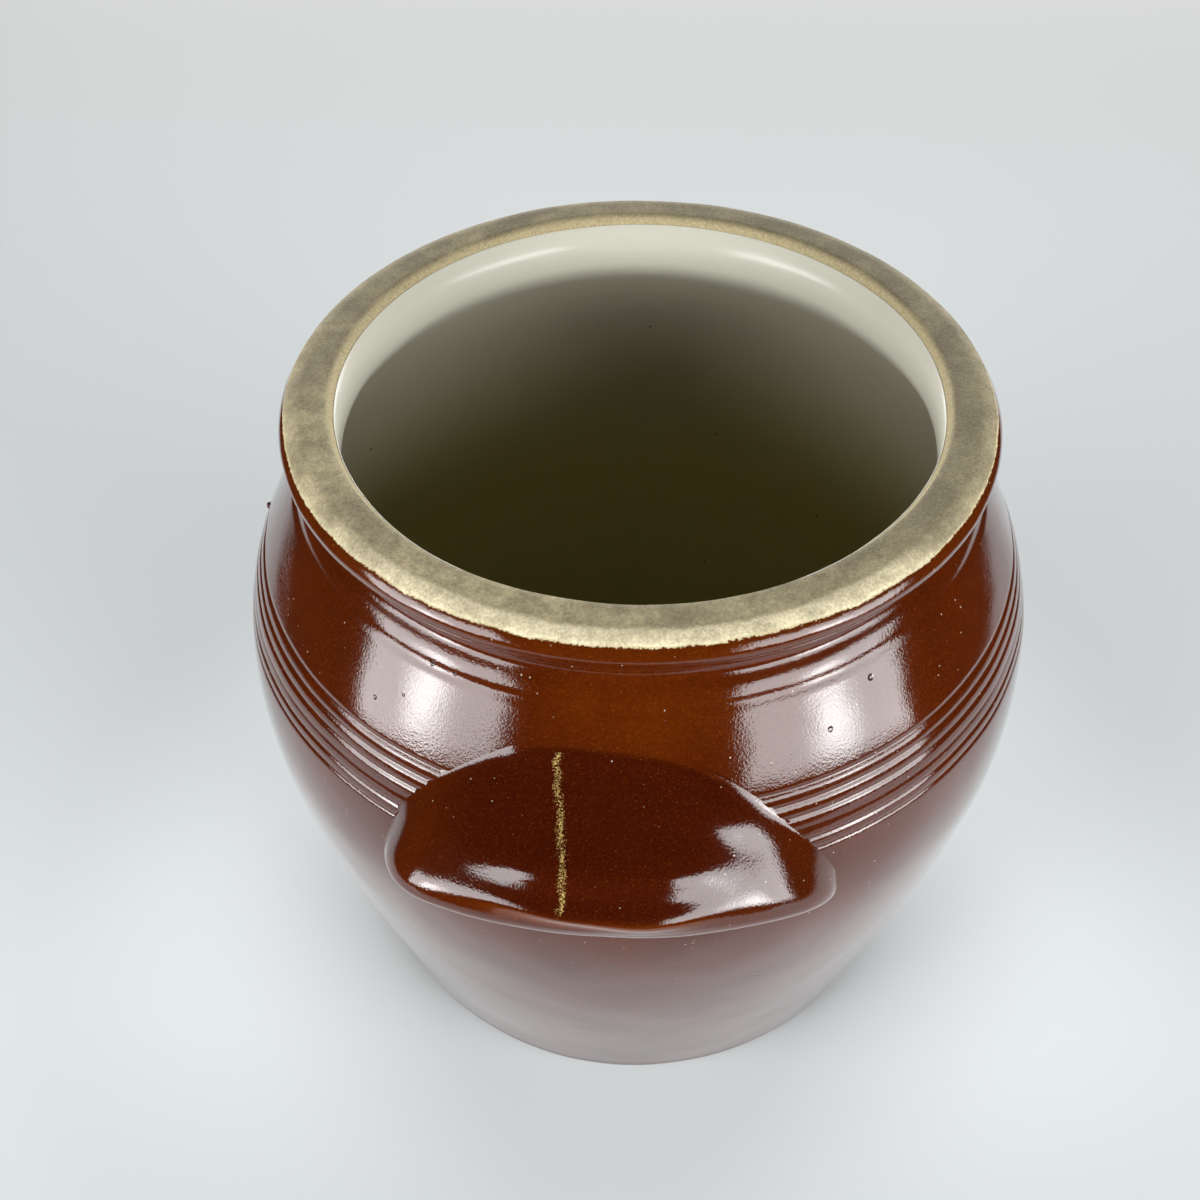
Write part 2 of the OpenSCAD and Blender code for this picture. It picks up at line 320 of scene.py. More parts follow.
blotches = node(
    tree,
    "ShaderNodeTexNoise",
    {"Vector": place, "Scale": 1 / blotch_w, "Detail": 5, "Roughness": 0.62},
).outputs["Fac"]
patches = node(
    tree,
    "ShaderNodeTexNoise",
    {"Vector": place, "Scale": 1 / patch_w, "Detail": 6, "Roughness": 0.7},
).outputs["Fac"]
grit = node(
    tree,
    "ShaderNodeTexNoise",
    {"Vector": place, "Scale": 1 / grit_w, "Detail": 3, "Roughness": 0.7},
).outputs["Fac"]
ragged = node(
    tree, "ShaderNodeMath", {0: patches, 1: 5 * mm, 2: radius}, operation="MULTIPLY_ADD"
)
outer_edge = node(
    tree,
    "ShaderNodeMapRange",
    {"Value": ragged.outputs[0], "From Min": 115.4 * mm, "From Max": 117.4 * mm},
    interpolation_type="SMOOTHSTEP",
)
forward = node(
    tree, "ShaderNodeMath", {0: blotches, 1: 90 * mm, 2: apart["Y"]}, operation="MULTIPLY_ADD"
)
frontal = node(
    tree,
    "ShaderNodeMapRange",
    {
        "Value": forward.outputs[0],
        "From Min": -14 * mm,
        "From Max": -62 * mm,
        "To Min": 0.1,
        "To Max": 1,
    },
    interpolation_type="SMOOTHSTEP",
)
handled = node(
    tree,
    "ShaderNodeMath",
    {0: outer_edge.outputs[0], 1: frontal.outputs[0]},
    operation="MULTIPLY",
)
spared = node(
    tree,
    "ShaderNodeMapRange",
    {"Value": patches, "From Min": 0.62, "From Max": 0.38, "To Min": 0.5, "To Max": 1},
)
rubbed = node(
    tree, "ShaderNodeMath", {0: handled.outputs[0], 1: spared.outputs[0]}, operation="MULTIPLY"
)
inner_edge = node(
    tree,
    "ShaderNodeMapRange",
    {"Value": radius, "From Min": 104.9 * mm, "From Max": 103.4 * mm},
    interpolation_type="SMOOTHSTEP",
)
stain = node(
    tree,
    "ShaderNodeMapRange",
    {"Value": blotches, "From Min": 0.36, "From Max": 0.66},
    interpolation_type="SMOOTHSTEP",
)
flat_tone = node(
    tree,
    "ShaderNodeMix",
    {"Factor": stain.outputs[0], "A": to_linear(clean_buff), "B": to_linear(stained_buff)},
    data_type="RGBA",
)
# Painted shade: the flat is made darker towards the back and towards the right
back_shade = node(
    tree,
    "ShaderNodeMapRange",
    {"Value": apart["Y"], "From Min": -90 * mm, "From Max": 60 * mm, "To Min": 1, "To Max": 0.70},
)
side_shade = node(
    tree,
    "ShaderNodeMapRange",
    {
        "Value": apart["X"],
        "From Min": -100 * mm,
        "From Max": 100 * mm,
        "To Min": 0.96,
        "To Max": 0.80,
    },
)
rim_shade = node(
    tree,
    "ShaderNodeMath",
    {0: back_shade.outputs[0], 1: side_shade.outputs[0]},
    operation="MULTIPLY",
)
shaded_flat_tone = node(
    tree,
    "ShaderNodeMix",
    {"Factor": 1, "A": flat_tone.outputs["Result"], "B": rim_shade.outputs[0]},
    data_type="RGBA",
    blend_type="MULTIPLY",
)
mottle = node(
    tree, "ShaderNodeMapRange", {"Value": patches, "From Min": 0.42, "From Max": 0.74}
)
mottled = node(
    tree,
    "ShaderNodeMix",
    {
        "Factor": mottle.outputs[0],
        "A": shaded_flat_tone.outputs["Result"],
        "B": to_linear(mottled_buff),
    },
    data_type="RGBA",
)
cleaned = node(
    tree,
    "ShaderNodeMix",
    {
        "Factor": rubbed.outputs[0],
        "A": mottled.outputs["Result"],
        "B": to_linear(rubbed_cream),
    },
    data_type="RGBA",
)
warmed = node(
    tree,
    "ShaderNodeMix",
    {
        "Factor": inner_edge.outputs[0],
        "A": cleaned.outputs["Result"],
        "B": to_linear(inner_buff),
    },
    data_type="RGBA",
)
grit_tone = node(
    tree,
    "ShaderNodeMapRange",
    {"Value": grit, "From Min": 0.3, "From Max": 0.7, "To Min": 0.70, "To Max": 1.22},
)
gritty = node(
    tree,
    "ShaderNodeMix",
    {"Factor": 1, "A": warmed.outputs["Result"], "B": grit_tone.outputs[0]},
    data_type="RGBA",
    blend_type="MULTIPLY",
)
tree.links.new(gritty.outputs["Result"], surface.inputs["Base Color"])
pits = node(tree, "ShaderNodeMath", {0: patches, 1: 1.5, 2: grit}, operation="MULTIPLY_ADD")
rough_bump = node(
    tree,
    "ShaderNodeBump",
    {"Strength": 0.5, "Distance": 0.12 * mm, "Height": pits.outputs[0]},
)
tree.links.new(rough_bump.outputs[0], surface.inputs["Normal"])

body.data.materials.append(bare_stoneware)
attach(body, "root")
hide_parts("stoneware_body")

# Pale lining
# A white glaze poured in and swilled round, then wiped off the rim: a glassy coat under half a
# millimetre thick on the whole inside, from the bevel of the mouth to the middle of the floor.

lining_t = 0.4 * mm
lining_shell_t = 0.3 * mm


def moved_right(path, distance):
    """The path moved to its right hand by a distance."""
    moved = []
    for i, here in enumerate(path):
        along = path[min(i + 1, len(path) - 1)] - path[max(i - 1, 0)]
        along = along / np.linalg.norm(along)
        moved.append(here + distance * np.array((along[1], -along[0])))
    return moved


def faced(inside):
    """Turns the faces of the active piece inwards or outwards."""
    bpy.ops.object.mode_set(mode="EDIT")
    bpy.ops.mesh.select_all(action="SELECT")
    bpy.ops.mesh.normals_make_consistent(inside=inside)
    bpy.ops.object.mode_set(mode="OBJECT")


lining_path = [np.array((max(r, 0), z)) for r, z in moved_right(inside_path, lining_t)]
lining_path[-1][0] = 0
lining = turned("lining_glaze_coat", lining_path)
faced(inside=True)
hand_thrown(lining)
applied(lining, "SOLIDIFY", thickness=lining_shell_t, offset=-1)

# White tin-free liner glaze on buff clay: glossy, white on the neck, painted shade greyer below it
# and darker and yellower further down, with faint throwing rings under it and a few dark iron
# specks.
neck_white, below_neck_shade_grey, deep_cream_and_shade, iron_speck = "#d5d3c4", "#b1ad9b", "#ada164", "#5b5140"
cloud_w, speck_gap = 30 * mm, 16 * mm
pale_glaze, tree, surface = new_material("pale_liner_glaze", {"Roughness": 0.22, "IOR": 1.5})
place = node(tree, "ShaderNodeTexCoord").outputs["Object"]
height = node(tree, "ShaderNodeSeparateXYZ", {"Vector": place}).outputs["Z"]
cloud = node(
    tree,
    "ShaderNodeTexNoise",
    {"Vector": place, "Scale": 1 / cloud_w, "Detail": 4, "Roughness": 0.6},
)
clouded_height = node(
    tree,
    "ShaderNodeMath",
    {0: cloud.outputs["Fac"], 1: 20 * mm, 2: height},
    operation="MULTIPLY_ADD",
)
# Painted shade of the deep inside: darker and yellower towards the floor
deeper_shade = node(
    tree,
    "ShaderNodeMapRange",
    {"Value": clouded_height.outputs[0], "From Min": 224 * mm, "From Max": 120 * mm},
    interpolation_type="SMOOTHSTEP",
)
shade_by_depth = node(
    tree,
    "ShaderNodeMix",
    {"Factor": deeper_shade.outputs[0], "A": to_linear(below_neck_shade_grey), "B": to_linear(deep_cream_and_shade)},
    data_type="RGBA",
)
# Painted shade: grey below the white band of the neck
shade_below_neck = node(
    tree,
    "ShaderNodeMapRange",
    {"Value": height, "From Min": 243 * mm, "From Max": 229 * mm},
    interpolation_type="SMOOTHSTEP",
)
tone = node(
    tree,
    "ShaderNodeMix",
    {
        "Factor": shade_below_neck.outputs[0],
        "A": to_linear(neck_white),
        "B": shade_by_depth.outputs["Result"],
    },
    data_type="RGBA",
)
iron = node(tree, "ShaderNodeTexVoronoi", {"Vector": place, "Scale": 1 / speck_gap})
spot = node(
    tree,
    "ShaderNodeMapRange",
    {"Value": iron.outputs["Distance"], "From Min": 0.045, "From Max": 0.03},
)
drawn = node(tree, "ShaderNodeSeparateColor", {"Color": iron.outputs["Color"]})
some = node(tree, "ShaderNodeMath", {0: drawn.outputs[0], 1: 0.72}, operation="GREATER_THAN")
speck = node(
    tree, "ShaderNodeMath", {0: spot.outputs[0], 1: some.outputs[0]}, operation="MULTIPLY"
)
specked = node(
    tree,
    "ShaderNodeMix",
    {"Factor": speck.outputs[0], "A": tone.outputs["Result"], "B": to_linear(iron_speck)},
    data_type="RGBA",
)
tree.links.new(specked.outputs["Result"], surface.inputs["Base Color"])
rings = node(tree, "ShaderNodeMapping", {"Vector": place, "Scale": (8, 8, 120)})
throwing = node(
    tree, "ShaderNodeTexNoise", {"Vector": rings.outputs[0], "Scale": 1, "Detail": 3}
)
ring_bump = node(
    tree,
    "ShaderNodeBump",
    {"Strength": 0.4, "Distance": 0.5 * mm, "Height": throwing.outputs["Fac"]},
)
tree.links.new(ring_bump.outputs[0], surface.inputs["Normal"])

lining.data.materials.append(pale_glaze)
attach(lining, "root")
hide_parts("lining_glaze")

# Brown coat
# An iron-brown glaze over the whole outside, from the foot to just over the lip, where the dipped
# edge wanders. The combed grooves and the throwing mark in the clay show through it.

glaze_t = 0.5 * mm
coat_shell_t = 0.35 * mm
foot_edge_path = foot_path[-foot_edge_steps:]
coated_path = foot_edge_path + wall_path + neck_path + lip_path
coat = turned("outer_glaze_coat", moved_right(coated_path, glaze_t))
hand_thrown(coat)

# A crumb of kiln grit is fused to the left of the shoulder
crumb_r, crumb_z, crumb_turn = 1.3 * mm, 204.5 * mm, math.radians(-89.2)
crumb_squash = (1, 0.8, 1.25, 1)
bpy.ops.object.select_all(action="DESELECT")
bpy.ops.mesh.primitive_ico_sphere_add(subdivisions=3, radius=crumb_r)
crumb = bpy.context.object
crumb.data.transform(
    Matrix.Rotation(crumb_turn, 4, "Z")
    @ Matrix.Translation((0, -(wall_r(crumb_z) + glaze_t), crumb_z))
    @ Matrix.Diagonal(crumb_squash)
)
bpy.ops.object.shade_smooth()

# The edge of the coat wanders up and down, and lies on the clay all the way
edge_low_z, edge_h, edge_band_w = lip_z + 0.5 * mm, 4.4 * mm, 4 * mm
edge_wave_w, edge_wave_h, edge_sunk = 9 * mm, 1.9 * mm, 0.05 * mm
edge = coat.vertex_groups.new(name="edge")
for vertex in coat.data.vertices:
    share = (vertex.co.z - edge_low_z) / edge_h
    if share > 0 and math.hypot(vertex.co.x, vertex.co.y) > lip_r - edge_band_w:
        edge.add([vertex.index], min(share, 1), "REPLACE")
uneven(coat, edge_wave_w, edge_wave_h, direction="Z", vertex_group="edge")
applied(
    coat,
    "SHRINKWRAP",
    target=body,
    vertex_group="edge",
    offset=-edge_sunk,
    wrap_mode="ABOVE_SURFACE",
)
applied(coat, "SOLIDIFY", thickness=coat_shell_t, offset=-1)
crumb.select_set(True)
coat.select_set(True)
bpy.context.view_layer.objects.active = coat
bpy.ops.object.join()

# Iron-brown stoneware glaze: a glassy, slightly orange-peeled coat, deep red-brown where it is
# thick and amber where it runs thin on edges, with white pin-specks and small burst bubbles. Its
# flecks and its peel are finer than the render shows, so they are drawn at 0.55 and 0.8 mm.
deep_brown, deepest_brown, thin_amber = "#481802", "#3d1302", "#733404"
# The first brown on the next line is painted shade for the lug hoods
hood_shade_brown, fleck_brown, speck_white = "#390e02", "#86470f", "#b8aa9c"
ash_gold, bubble_dark, bare_clay = "#c8ae69", "#1c0903", "#c4b790"
depth_w, cloud_w, sway_w = 34 * mm, 14 * mm, 12 * mm
grain_w, fleck_w, peel_w, crumble_w = 1.3 * mm, 0.55 * mm, 0.8 * mm, 0.9 * mm
speck_gap = 2.5 * mm
iron_glaze, tree, surface = new_material(
    "iron_brown_glaze", {"IOR": 1.325, "Coat IOR": 1.325, "Coat Roughness": 0.1}
)
place = node(tree, "ShaderNodeTexCoord").outputs["Object"]
height = node(tree, "ShaderNodeSeparateXYZ", {"Vector": place}).outputs["Z"]
depth = node(
    tree,
    "ShaderNodeTexNoise",
    {"Vector": place, "Scale": 1 / depth_w, "Detail": 4, "Roughness": 0.55},
).outputs["Fac"]
thick = node(
    tree, "ShaderNodeMapRange", {"Value": depth, "From Min": 0.35, "From Max": 0.7}
)
deep = node(
    tree,
    "ShaderNodeMix",
    {"Factor": thick.outputs[0], "A": to_linear(deep_brown), "B": to_linear(deepest_brown)},
    data_type="RGBA",
)

# It is thin on the worn lip of a lug, where the amber is made stronger as a painted sheen of the
# lip's edge, a little on the pot's lip, and in a cloud above the front lug
cloud_stretch, cloud_place = 2.4, (8 * mm, -120 * mm, 237 * mm)
thin_and_sheen = node(tree, "ShaderNodeAttribute", attribute_name="thin_and_sheen")
lip_thin = node(
    tree,
    "ShaderNodeMapRange",
    {"Value": height, "From Min": lip_z - 3 * mm, "From Max": lip_z + 2 * mm},
    interpolation_type="SMOOTHSTEP",
)
stretched = node(
    tree, "ShaderNodeVectorMath", {0: place, 1: (1, 1, cloud_stretch)}, operation="MULTIPLY"
)
off_cloud = node(
    tree,
    "ShaderNodeVectorMath",
    {0: stretched.outputs[0], 1: (*cloud_place[:2], cloud_stretch * cloud_place[2])},
    operation="DISTANCE",
)
in_cloud = node(
    tree,
    "ShaderNodeMapRange",
    {
        "Value": off_cloud.outputs["Value"],
        "From Min": 44 * mm,
        "From Max": 12 * mm,
        "To Min": 0,
        "To Max": 0.3,
    },
    interpolation_type="SMOOTHSTEP",
)
cloud = node(
    tree, "ShaderNodeTexNoise", {"Vector": place, "Scale": 1 / cloud_w, "Detail": 3}
)
cloud_thin = node(
    tree,
    "ShaderNodeMath",
    {0: in_cloud.outputs[0], 1: cloud.outputs["Fac"]},
    operation="MULTIPLY",
)
lip_share = node(tree, "ShaderNodeMath", {0: lip_thin.outputs[0], 1: 0.15}, operation="MULTIPLY")
pot_thin = node(
    tree, "ShaderNodeMath", {0: lip_share.outputs[0], 1: cloud_thin.outputs[0]}, operation="ADD"
)
any_thin_and_sheen = node(
    tree, "ShaderNodeMath", {0: thin_and_sheen.outputs["Fac"], 1: pot_thin.outputs[0]}, operation="MAXIMUM"
)
amber = node(
    tree,
    "ShaderNodeMix",
    {"Factor": any_thin_and_sheen.outputs[0], "A": deep.outputs["Result"], "B": to_linear(thin_amber)},
    data_type="RGBA",
)

# The lug hoods are painted darker as shade, and the glaze is dusted with flecks and mottled all
# over
# Painted shade on the lug hoods
hood_shade = node(tree, "ShaderNodeAttribute", attribute_name="hood_shade")
shaded_lug_hood = node(
    tree,
    "ShaderNodeMix",
    {
        "Factor": hood_shade.outputs["Fac"],
        "A": amber.outputs["Result"],
        "B": to_linear(hood_shade_brown),
    },
    data_type="RGBA",
)
flecks = node(
    tree,
    "ShaderNodeTexNoise",
    {"Vector": place, "Scale": 1 / fleck_w, "Detail": 3, "Roughness": 0.7},
).outputs["Fac"]
dusty = node(
    tree,
    "ShaderNodeMapRange",
    {"Value": flecks, "From Min": 0.55, "From Max": 0.75, "To Min": 0, "To Max": 0.36},
)
flecked = node(
    tree,
    "ShaderNodeMix",
    {
        "Factor": dusty.outputs[0],
        "A": shaded_lug_hood.outputs["Result"],
        "B": to_linear(fleck_brown),
    },
    data_type="RGBA",
)
grain = node(
    tree,
    "ShaderNodeTexNoise",
    {"Vector": place, "Scale": 1 / grain_w, "Detail": 3, "Roughness": 0.65},
)
grain_tone = node(
    tree,
    "ShaderNodeMapRange",
    {
        "Value": grain.outputs["Fac"],
        "From Min": 0.3,
        "From Max": 0.7,
        "To Min": 0.84,
        "To Max": 1.14,
    },
)
grained = node(
    tree,
    "ShaderNodeMix",
    {"Factor": 1, "A": flecked.outputs["Result"], "B": grain_tone.outputs[0]},
    data_type="RGBA",
    blend_type="MULTIPLY",
)

# White pin-specks: a quarter of the cells of a 2.5 mm pattern hold one, each of its own size
cells = node(tree, "ShaderNodeTexVoronoi", {"Vector": place, "Scale": 1 / speck_gap})
drawn = node(tree, "ShaderNodeSeparateColor", {"Color": cells.outputs["Color"]})
speck_r = node(
    tree, "ShaderNodeMapRange", {"Value": drawn.outputs[1], "To Min": 0.05, "To Max": 0.13}
)
within = node(
    tree,
    "ShaderNodeMath",
    {0: speck_r.outputs[0], 1: cells.outputs["Distance"]},
    operation="SUBTRACT",
)
dot = node(
    tree, "ShaderNodeMapRange", {"Value": within.outputs[0], "From Min": 0, "From Max": 0.04}
)
some = node(tree, "ShaderNodeMath", {0: drawn.outputs[0], 1: 0.75}, operation="GREATER_THAN")
speck = node(
    tree, "ShaderNodeMath", {0: dot.outputs[0], 1: some.outputs[0]}, operation="MULTIPLY"
)
specked = node(
    tree,
    "ShaderNodeMix",
    {"Factor": speck.outputs[0], "A": grained.outputs["Result"], "B": to_linear(speck_white)},
    data_type="RGBA",
)

# The gold streak on the front lug is broken up by the flecks
streak = node(tree, "ShaderNodeAttribute", attribute_name="streak")
broken = node(
    tree,
    "ShaderNodeMath",
    {0: streak.outputs["Fac"], 1: 0.30, 2: flecks},
    operation="MULTIPLY_ADD",
)
gold_share = node(
    tree, "ShaderNodeMapRange", {"Value": broken.outputs[0], "From Min": 0.70, "From Max": 0.90}
)
gilt = node(
    tree,
    "ShaderNodeMix",
    {"Factor": gold_share.outputs[0], "A": specked.outputs["Result"], "B": to_linear(ash_gold)},
    data_type="RGBA",
)

# Burst bubbles: degrees round from the front, mm below the rim, and size in mm
bubble_rim, bubble_floor = 1.2 * mm, 0.5 * mm
bubbles = [
    (-28.1, 29.4, 0.9), (-24.1, 29.5, 0.6), (-36, 47.5, 0.7), (-31.4, 41.9, 0.5), (38.5, 35.8, 1.0),
    (30.4, 44.5, 0.9), (20.6, 154.2, 0.9), (7.4, 194.1, 0.9), (13.7, 215.3, 0.8),
]
burst = 0
for degrees, drop, size in bubbles:
    turn, z = math.radians(degrees), pot_h - drop * mm
    r = wall_r(z) + glaze_t
    centre = (r * math.sin(turn), -r * math.cos(turn), z)
    away = node(tree, "ShaderNodeVectorMath", {0: place, 1: centre}, operation="DISTANCE")
    hole = node(
        tree,
        "ShaderNodeMapRange",
        {
            "Value": away.outputs["Value"],
            "From Min": bubble_rim * size,
            "From Max": bubble_floor * size,
        },
    )
    burst = node(
        tree, "ShaderNodeMath", {0: burst, 1: hole.outputs[0]}, operation="MAXIMUM"
    ).outputs[0]
holed = node(
    tree,
    "ShaderNodeMix",
    {"Factor": burst, "A": gilt.outputs["Result"], "B": to_linear(bubble_dark)},
    data_type="RGBA",
)

# The dipped edge crumbles away to bare, matt clay
edge_share = node(tree, "ShaderNodeAttribute", attribute_name="edge")
crumbs = node(
    tree,
    "ShaderNodeTexNoise",
    {"Vector": place, "Scale": 1 / crumble_w, "Detail": 4, "Roughness": 0.7},
)
crumbled = node(
    tree,
    "ShaderNodeMath",
    {0: crumbs.outputs["Fac"], 1: 0.5, 2: edge_share.outputs["Fac"]},
    operation="MULTIPLY_ADD",
)
bare = node(
    tree, "ShaderNodeMapRange", {"Value": crumbled.outputs[0], "From Min": 1.04, "From Max": 1.10}
).outputs[0]
edged = node(
    tree,
    "ShaderNodeMix",
    {"Factor": bare, "A": holed.outputs["Result"], "B": to_linear(bare_clay)},
    data_type="RGBA",
)
tree.links.new(edged.outputs["Result"], surface.inputs["Base Color"])
gloss = node(
    tree,
    "ShaderNodeMapRange",
    {"Value": depth, "From Min": 0.3, "From Max": 0.7, "To Min": 0.05, "To Max": 0.08},
)
matt = node(tree, "ShaderNodeMix", {"Factor": bare, "A": gloss.outputs[0], "B": 0.75})
tree.links.new(matt.outputs["Result"], surface.inputs["Roughness"])
glassy = node(tree, "ShaderNodeMath", {0: 1, 1: bare}, operation="SUBTRACT")
tree.links.new(glassy.outputs[0], surface.inputs["Coat Weight"])

# Orange peel, pitted by the bubbles, on a slow sway
peel = node(tree, "ShaderNodeTexNoise", {"Vector": place, "Scale": 1 / peel_w, "Detail": 2})
sway = node(tree, "ShaderNodeTexNoise", {"Vector": place, "Scale": 1 / sway_w, "Detail": 2})
pitted = node(
    tree, "ShaderNodeMath", {0: burst, 1: -3, 2: peel.outputs["Fac"]}, operation="MULTIPLY_ADD"
)
peel_bump = node(
    tree,
    "ShaderNodeBump",
    {"Strength": 1, "Distance": 0.04 * mm, "Height": pitted.outputs[0]},
)
sway_bump = node(
    tree,
    "ShaderNodeBump",
    {
        "Strength": 0.15,
        "Distance": 0.4 * mm,
        "Height": sway.outputs["Fac"],
        "Normal": peel_bump.outputs[0],
    },
)
tree.links.new(sway_bump.outputs[0], surface.inputs["Normal"])
tree.links.new(sway_bump.outputs[0], surface.inputs["Coat Normal"])

coat.data.materials.append(iron_glaze)
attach(coat, "root")
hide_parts("outer_glaze")

# Lugs
# Two clay ears, pressed on by hand and smeared into the shoulder opposite each other. Each is a
# broad sloping hood with a rolled lower lip, hollow below for the fingers, under the brown glaze;
# the hood is painted darker as shade. A drip of ash has left a gold streak on the front one.

lug_columns, lug_rows = 150, 96
lug_shell_t = 2.5 * mm
lug_half_turn, lug_skew = 30.3, 0.4
lug_reach, reach_tilt, reach_swell = 20.6 * mm, 5 * mm, 1 * mm
root_drop, root_tilt = 41 * mm, 4 * mm
lip_drop, lip_tilt, lip_fall, lip_fall_bend = 78 * mm, 7 * mm, 19 * mm, 3.2
under_h, under_end_h = 16 * mm, 3 * mm
slip_t, end_sunk, end_sunk_bend = 0.45 * mm, 1.2 * mm, 9
even_columns, closer_columns = 0.35, 0.65

# The two ends differ, as handwork does: how far the root falls and how sharply, how far the lip
# sags, and how long the reach holds and how bluntly it closes
left_end = (42 * mm, 2.6, 6 * mm, 4, 0.75)
right_end = (48.5 * mm, 2.55, 0, 2.3, 0.6)

# Section of a lug from its root on the shoulder over the lip to its root below: share of the
# reach, share of the height above or below the lip
lug_section = [
    (-0.02, 1.08), (-0.01, 1.03), (0, 0.98), (0.02, 0.925), (0.10, 0.85), (0.29, 0.71),
    (0.52, 0.53), (0.74, 0.35), (0.90, 0.21), (0.985, 0.09), (1, -0.06), (0.95, -0.30),
    (0.68, -0.46), (0.35, -0.50), (0.08, -0.60), (-0.03, -0.9), (-0.08, -1.1),
]

# Swellings that the maker's fingers left: place along and up the face, half widths, rise
pressed = [
    (0, 0.42, 0.42, 0.50, 4.5 * mm), (-0.17, 0.43, 0.27, 0.12, 3.3 * mm),
    (-0.14, 0.18, 0.24, 0.08, 2.4 * mm), (-1, 0.35, 0.18, 0.50, -3.5 * mm),
    (-0.78, -0.05, 0.16, 0.30, 1.2 * mm), (0.45, 0.80, 0.14, 0.16, 2.3 * mm),
    (0.26, 0.46, 0.16, 0.13, 2.0 * mm), (0.16, 0.14, 0.20, 0.10, 2.2 * mm),
    (0.78, -0.02, 0.24, 0.35, 0.8 * mm),
]

# The middle of the upper root is smeared flat, so no swelling lifts it off the shoulder: shares
# down the face and along it between which the swellings come in
smeared_root, smeared_middle = (0.03, 0.12), (0.34, 0.46)


def on_spline(points, share):
    """Point on a smooth curve led by the points, at a share of its length from 0 to 1."""
    spans = len(points) - 3
    i = min(int(share * spans), spans - 1)
    t = share * spans - i
    weights = ((1 - t) ** 3, 3 * t**3 - 6 * t**2 + 4, -3 * t**3 + 3 * t**2 + 3 * t + 1, t**3)
    return sum(w / 6 * np.array(p) for w, p in zip(weights, points[i : i + 4]))


def eased(value, start, end):
    """A soft step: 0 at the start, 1 at the end."""
    share = min(1, max(0, (value - start) / (end - start)))
    return share * share * (3 - 2 * share)


def lug_place(a, share):
    """Point of the front lug: a runs from -1 to 1 along it, share from upper to lower root."""
    out, up = on_spline(lug_section, share)
    end = abs(a)
    root_fall, root_bend, lip_sag, reach_hold, reach_close = left_end if a < 0 else right_end
    turn = math.radians(lug_half_turn * a - lug_skew * a * a)
    top = pot_h - (root_drop + root_tilt * a + root_fall * end**root_bend)
    lip = pot_h - (lip_drop + lip_tilt * a + lip_fall * end**lip_fall_bend)
    lip -= lip_sag * end * (1 - end**2)
    low = lip - (under_end_h + under_h * math.sqrt(1 - a * a))
    reach = lug_reach - reach_tilt * a + reach_swell * a * a
    reach *= (1 - end**reach_hold) ** reach_close
    z = lip + up * ((top - lip) if up > 0 else (lip - low))
    r = wall_r(z) + slip_t - end_sunk * end**end_sunk_bend + out * reach
    swell = max(eased(share, *smeared_root), eased(end, *smeared_middle))
    for along, height, half_w, half_h, rise in pressed:
        r += swell * rise * math.exp(-(((a - along) / half_w) ** 2) - ((up - height) / half_h) ** 2)
    return r * math.sin(turn), -r * math.cos(turn), z


def worn_thin_and_sheen(a, share):
    """How far the lip is worn to amber, made stronger as a painted sheen of its edge: a short band
    just above its edge, in the middle.
    """
    amount, band, half_band, middle, half_w = 0.7, 0.56, 0.05, -0.05, 0.45
    return (
        amount
        * max(0, 1 - abs(share - band) / half_band)
        * max(0, 1 - ((a - middle) / half_w) ** 2)
    )


def gilded(x, share):
    """How much ash gold lies here: a drip that runs down from the upper root and wanders."""
    top_x, drift, half_w = -17 * mm, 8 * mm, 1.35 * mm
    bend, bend_start, bend_length = 0.9 * mm, 0.30, 0.42
    shake, shake_rate = 0.3 * mm, 70
    start, stop = (0.05, 0.11), (0.53, 0.50)
    wander = bend * math.sin((share - bend_start) * math.tau / bend_length)
    wander += shake * math.sin(shake_rate * share)
    off = x - (top_x + drift * share + wander)
    return eased(share, *start) * eased(share, *stop) * math.exp(-((off / half_w) ** 2))


def painted_hood_shade(a, share):
    """How much painted shade darkens the hood: all over it, but not at its ends, root or lip."""
    root_fade, end_fade, lip_edge_share, lip_fade = (0.045, 0.09), (0.82, 0.48), 0.545, 0.04
    above_lip = min(1, max(0, (lip_edge_share - share) / lip_fade))
    return eased(share, *root_fade) * above_lip * eased(abs(a), *end_fade)


# The front lug is a grid bent to its shape, with closer columns at its ends
bpy.ops.object.select_all(action="DESELECT")
bpy.ops.mesh.primitive_grid_add(x_subdivisions=lug_columns, y_subdivisions=lug_rows, size=2)
front_lug = bpy.context.object
front_lug.name = front_lug.data.name = "front_lug_glazed"
finish = {"thin_and_sheen": [], "streak": [], "hood_shade": []}
for vertex in front_lug.data.vertices:
    column, share = vertex.co.x, (1 - vertex.co.y) / 2
    a = even_columns * column + closer_columns * math.sin(column * math.pi / 2)
    a = min(1, max(-1, a))
    vertex.co = lug_place(a, share)
    finish["thin_and_sheen"].append(worn_thin_and_sheen(a, share))
    finish["streak"].append(gilded(vertex.co.x, share))
    finish["hood_shade"].append(painted_hood_shade(a, share))
for name, values in finish.items():
    front_lug.data.attributes.new(name, "FLOAT", "POINT").data.foreach_set("value", values)
faced(inside=False)
hand_thrown(front_lug)
applied(front_lug, "SOLIDIFY", thickness=lug_shell_t, offset=-1)
bpy.ops.object.shade_smooth()
front_lug.data.materials.append(iron_glaze)

# The rear lug is its twin, turned half round, and has no streak
rear_lug = front_lug.copy()
rear_lug.data = front_lug.data.copy()
rear_lug.name = rear_lug.data.name = "rear_lug_glazed"
bpy.context.scene.collection.objects.link(rear_lug)
rear_lug.data.transform(Matrix.Rotation(math.pi, 4, "Z"))
rear_lug.data.attributes.remove(rear_lug.data.attributes["streak"])

for lug, name in ((front_lug, "front_lug"), (rear_lug, "rear_lug")):
    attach(lug, "root")
    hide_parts(name, name + "_glaze")
